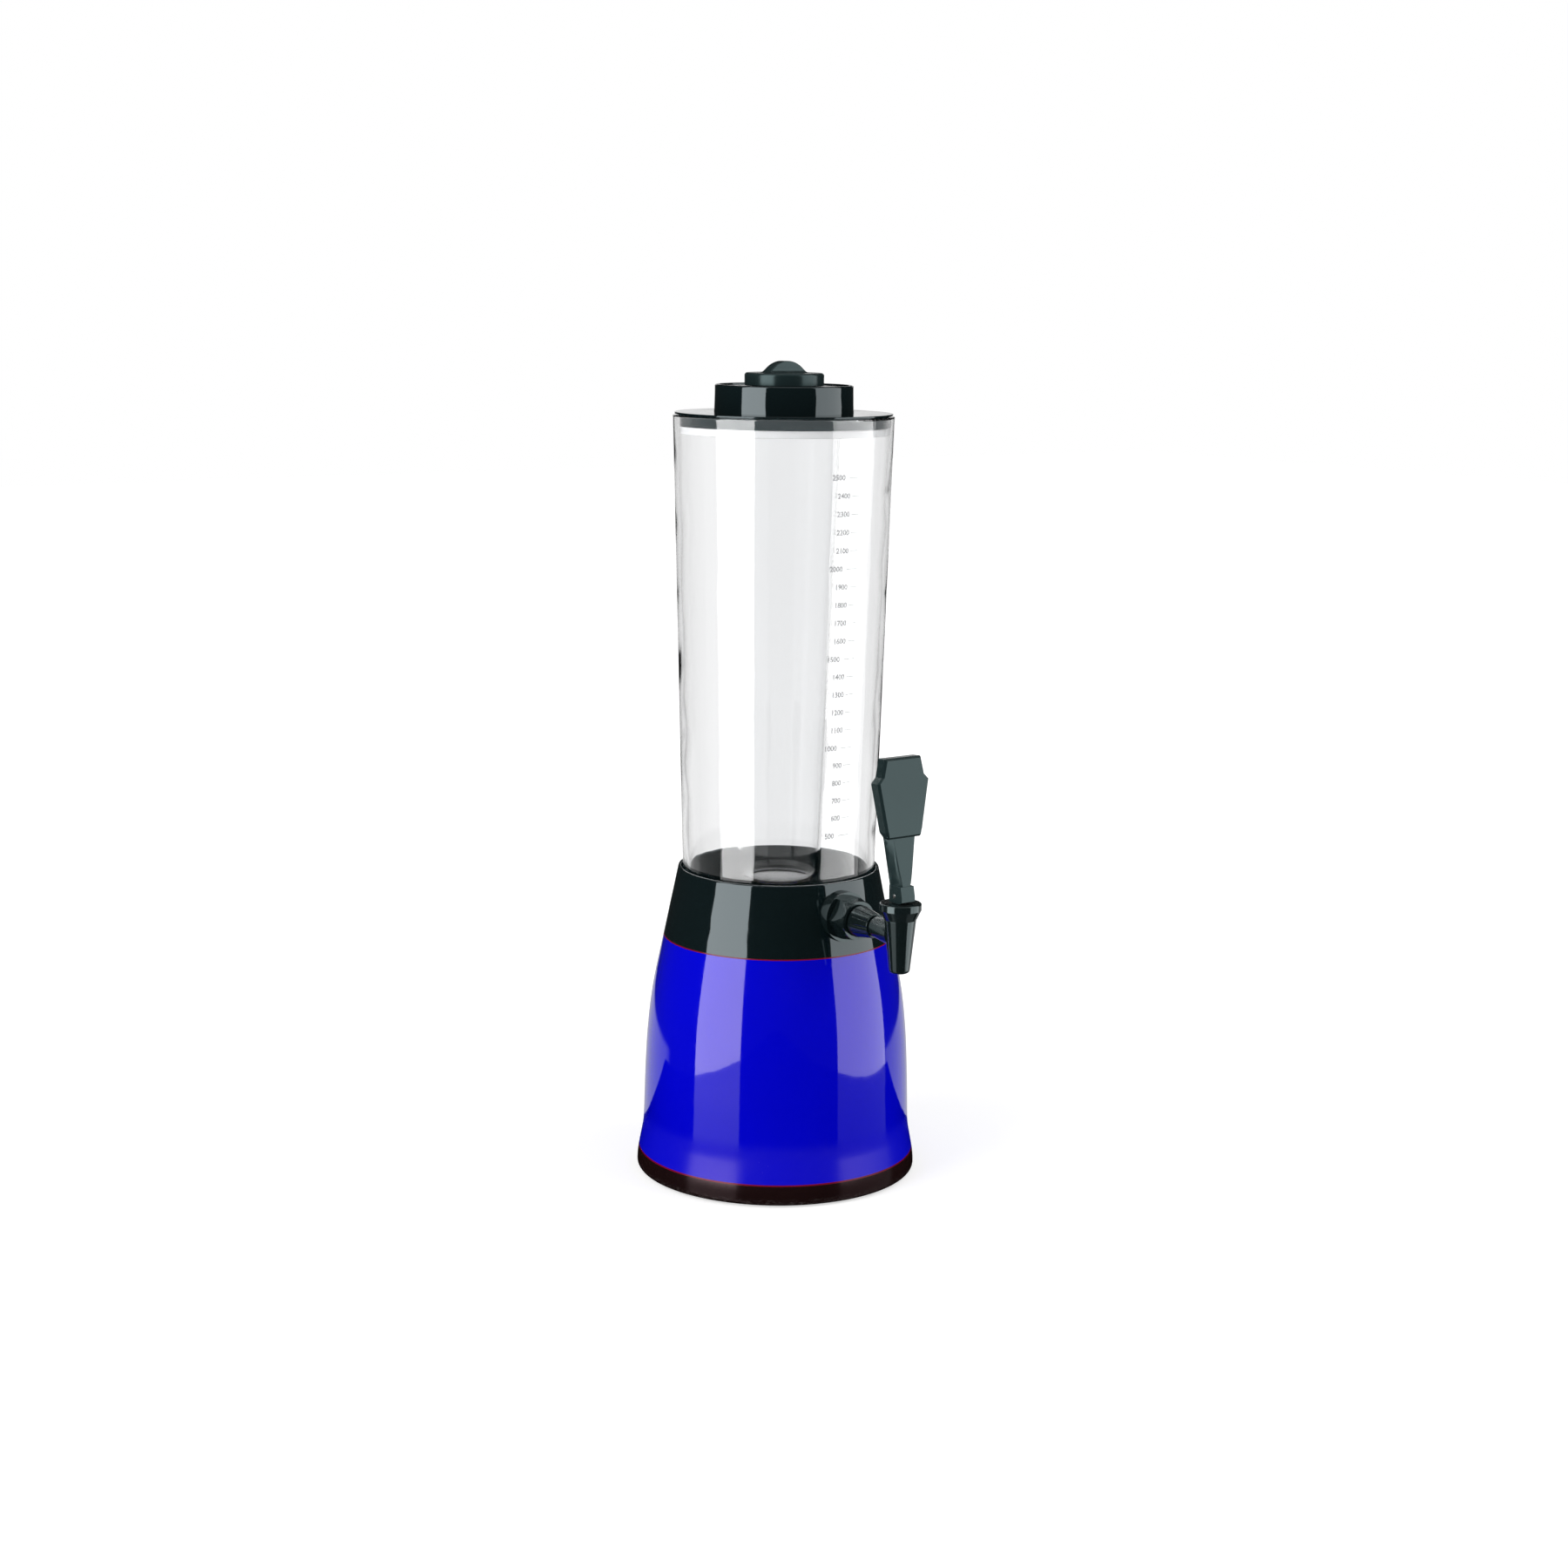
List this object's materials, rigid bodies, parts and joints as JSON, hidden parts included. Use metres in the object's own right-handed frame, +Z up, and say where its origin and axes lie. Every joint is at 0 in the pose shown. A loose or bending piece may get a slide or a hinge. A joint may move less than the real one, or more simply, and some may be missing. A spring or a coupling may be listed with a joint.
{
  "type": "beverage tower dispenser",
  "caption": "Table-top drink tower: clear tapered tube on a flared base with a self-closing lever tap, and a lid that carries an ice tube and a twist-out cap.",
  "frame": {"origin": "on the table, under the axis of the tube, at the middle of the base pad's underside", "axes": "+Z up along the tube's axis; -Y towards the tap, so the tap's lever faces -Y; +X to the right of somebody who looks along +Y at the tap"},
  "size_m": [0.1788, 0.2271, 0.515],
  "materials": {
    "black_plastic": "glossy moulded",
    "satin_plastic": "satin moulded",
    "tap_plastic": "semi-gloss moulded",
    "matt_black_plastic": "matt moulded",
    "foot_plastic": "glossy moulded, brown-black",
    "blue_plastic": "high gloss",
    "red_trim": "glossy",
    "clear_plastic": "clear, polished",
    "silicone": "translucent matt",
    "rubber": "matt",
    "steel": "bright stainless"
  },
  "bodies": {
    "base": {"base_pad": "rubber", "base_plate": "matt_black_plastic", "base_screws": "steel", "foot_ring": "foot_plastic", "lower_trim_ring": "red_trim", "base_shell": "blue_plastic", "upper_trim_ring": "red_trim", "collar": "black_plastic", "tube_seat": "matt_black_plastic", "tube_gasket": "rubber", "tube": "clear_plastic", "shank": "tap_plastic", "saddle_washer": "tap_plastic", "shank_spacer": "matt_black_plastic", "outer_seal": "rubber", "inner_seal": "rubber", "lock_nut": "tap_plastic", "coupling_nut": "tap_plastic", "coupling_seal": "rubber", "tap_body": "tap_plastic", "bonnet": "tap_plastic", "valve_spring": "steel"},
    "lid": {"lid": "black_plastic", "lid_gasket": "silicone", "ice_tube": "clear_plastic"},
    "plug": {"cap_seal": "rubber"},
    "cap": {"cap": "satin_plastic"},
    "valve": {"valve_stem": "tap_plastic", "seat_cup": "silicone"},
    "lever": {"handle": "satin_plastic", "pivot_pin": "steel"}
  },
  "joints": [
    {"name": "lid_lift", "type": "slide", "parent": "base", "child": "lid", "axis": [0, 0, 1], "range_m": [0, 0.31]},
    {"name": "cap_lift", "type": "slide", "parent": "lid", "child": "plug", "axis": [0, 0, 1], "range_m": [0, 0.05]},
    {"name": "cap_turn", "type": "hinge", "parent": "plug", "child": "cap", "pos_m": [0, 0, 0.5], "axis": [0, 0, 1], "continuous": true},
    {"name": "valve_lift", "type": "slide", "parent": "base", "child": "valve", "axis": [0, 0, 1], "range_m": [0, 0.0028], "deforming": ["valve_spring"]},
    {"name": "lever_tilt", "type": "hinge", "parent": "valve", "child": "lever", "pos_m": [0, -0.125, 0.2016], "axis": [1, 0, 0], "range_deg": [0, 40], "stiffness_Nm_per_rad": 0.03, "springref_deg": -34.38}
  ],
  "couplings": [
    {"joint": "valve_lift", "follows": "lever_tilt", "m_per_rad": 0.004}
  ]
}
